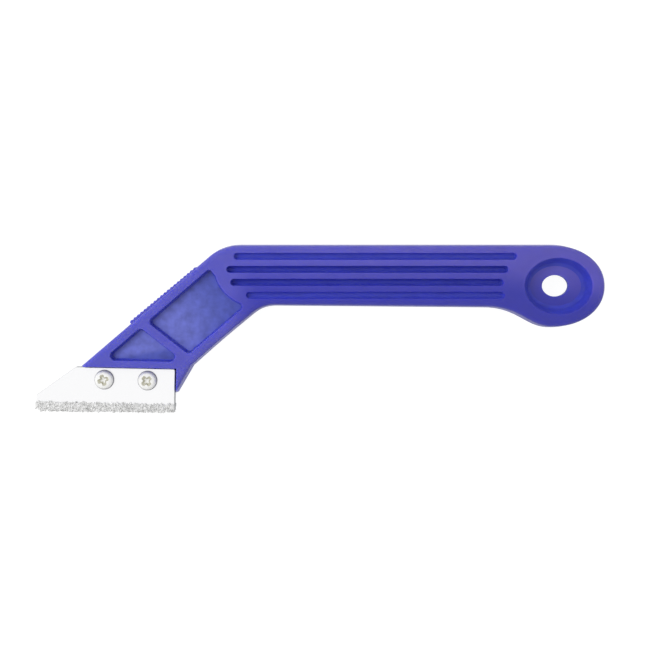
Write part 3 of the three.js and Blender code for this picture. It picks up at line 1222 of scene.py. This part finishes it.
def screw(side):
    """A pan head screw, drawn with its seat at height zero"""
    core = screw_radius - thread_depth
    skirt_radius = head_radius - skirt_width
    profile = [
        (0, -screw_length),
        (core - screw_tip_chamfer, -screw_length),
        (core, screw_tip_chamfer - screw_length),
        (core, -thread_runout),
        (screw_radius, -thread_runout / 2),
        (screw_radius, 0),
        (head_radius, 0),
    ]
    for i in range(dome_steps + 1):
        turn = math.pi / 2 * i / dome_steps
        out = head_flat_radius + (skirt_radius - head_flat_radius) * math.cos(turn)
        profile.append((out, head_side + (head_height - head_side) * math.sin(turn)))
    profile.append((0, head_height))
    piece = turned_on_lathe(side + "_pan_head_screw", profile, zinc)
    # Painted shade: the head's skirt in dull grey
    finish_faces(piece, skirt_zinc_painted_shade, lambda face: 0 < face.center.z < head_side)
    carve(piece, thread(), "UNION")
    carve(piece, cross_recess())
    smoothed(piece, screw_crease)
    seat = tongue_thickness + 2 * blade_thickness + head_gap
    place = at_height(screw_axes[side], seat, seat_tilt + screw_turns[side])
    set_in_place(piece, place, side + "_screw", side + "_screw_body")


def nut(side):
    """A hexagon nut, turned down at its corners on both faces"""
    reach = nut_flats / math.sqrt(3)
    face_radius = nut_flats / 2 * nut_face_share
    corners = ellipse(bend, reach, reach, nut_sides)
    piece = block(side + "_hexagon_nut", corners, 0, nut_thickness, zinc)
    carve(piece, turned_on_lathe("corners", [
        (0, 0),
        (face_radius, 0),
        (reach + skin, nut_chamfer),
        (reach + skin, nut_thickness - nut_chamfer),
        (face_radius, nut_thickness),
        (0, nut_thickness),
    ], zinc), "INTERSECT")
    bore = screw_radius + thread_clearance
    carve(piece, turned_on_lathe("bore", [
        (0, -overrun),
        (bore + nut_chamfer, -overrun),
        (bore + nut_chamfer, 0),
        (bore, nut_chamfer),
        (bore, nut_thickness - nut_chamfer),
        (bore + nut_chamfer, nut_thickness),
        (bore + nut_chamfer, nut_thickness + overrun),
        (0, nut_thickness + overrun),
    ], zinc))
    smoothed(piece, nut_crease)
    place = at_height(screw_axes[side], nut_sink, seat_tilt)
    set_in_place(piece, place, side + "_nut", "saw")


# Camera, floor and light


def camera():
    """Straight above the saw, near enough to show a little of the inner walls"""
    lens = bpy.data.cameras.new("camera")
    lens.sensor_width = sensor_width
    lens.lens = sensor_width * face_scale * (camera_height - handle_thickness) / picture_width
    lens.shift_y = -axis_above_centre / picture_width
    eye = bpy.data.objects.new("camera", lens)
    bpy.context.collection.objects.link(eye)
    eye.location = Vector((*camera_place, camera_height)) * millimetre
    bpy.context.scene.camera = eye


def white_to_the_eye(tree, plain, white, output):
    """Shows one shader to the eye, in mirrors and through glass, and another to all other light"""
    path = add(tree, "LightPath").outputs
    seen = add(tree, "Math", {"operation": "MAXIMUM"}, [path["Is Camera Ray"], path["Is Glossy Ray"]])
    seen = add(tree, "Math", {"operation": "MAXIMUM"}, [seen.outputs[0], path["Is Transmission Ray"]])
    mix = add(tree, "MixShader", ordered=[seen.outputs[0], plain.outputs[0], white.outputs[0]])
    tree.links.new(mix.outputs[0], output)


def floor():
    """White paper: the eye and the metal see it white, with a faint shadow under the saw"""
    bpy.ops.mesh.primitive_plane_add(size=paper_size * millimetre, location=(0, 0, -paper_drop * millimetre))
    ground = bpy.context.object
    ground.name = "floor"
    material, tree, paper = finish("white paper", Base_Color=colour("#b4b4b4"), Roughness=0.9)
    glow = add(tree, "Emission", Strength=paper_glow)
    shaded = add(tree, "BsdfDiffuse", Color=colour("#6a6a6a"))
    bright = add(tree, "AddShader", ordered=[glow.outputs[0], shaded.outputs[0]])
    white_to_the_eye(tree, paper, bright, tree.nodes["Material Output"].inputs["Surface"])
    ground.data.materials.append(material)


def light():
    """A white tent, brightest low down in reflections, and one soft lamp on the left"""
    world = bpy.data.worlds.new("white tent")
    bpy.context.scene.world = world
    world.use_nodes = True
    tree = world.node_tree
    ambient = tree.nodes["Background"]
    ambient.inputs["Color"].default_value = colour("#ffffff")
    ambient.inputs["Strength"].default_value = tent_light
    direction = add(tree, "TexCoord").outputs["Generated"]
    up = add(tree, "SeparateXYZ", Vector=direction).outputs["Z"]
    mirrored_up = add(
        tree, "MapRange", Value=up, From_Max=tent_horizon_share, To_Min=tent_horizon_glow, To_Max=1)
    for_eye = add(tree, "LightPath").outputs["Is Camera Ray"]
    strength = add(tree, "MapRange", Value=for_eye, To_Min=mirrored_up.outputs[0], To_Max=1)
    tent = add(tree, "Background", Color=colour("#ffffff"), Strength=strength.outputs[0])
    white_to_the_eye(tree, ambient, tent, tree.nodes["World Output"].inputs["Surface"])
    place = Vector(lamp_place) * millimetre
    bpy.ops.object.light_add(type="AREA", location=place)
    lamp = bpy.context.object
    lamp.data.size = lamp_size * millimetre
    lamp.data.energy = lamp_watts
    lamp.visible_glossy = False
    lamp.rotation_euler = place.to_track_quat("Z", "Y").to_euler()


bpy.context.scene.view_settings.view_transform = "Standard"
camera()
floor()
light()
handle()
blade("rear_blade", 0)
blade("front_blade", blade_thickness)
grit("rear_blade_grit", seed=11, under=True)
grit("front_blade_grit", seed=7)
for side in screw_turns:
    screw(side)
    nut(side)
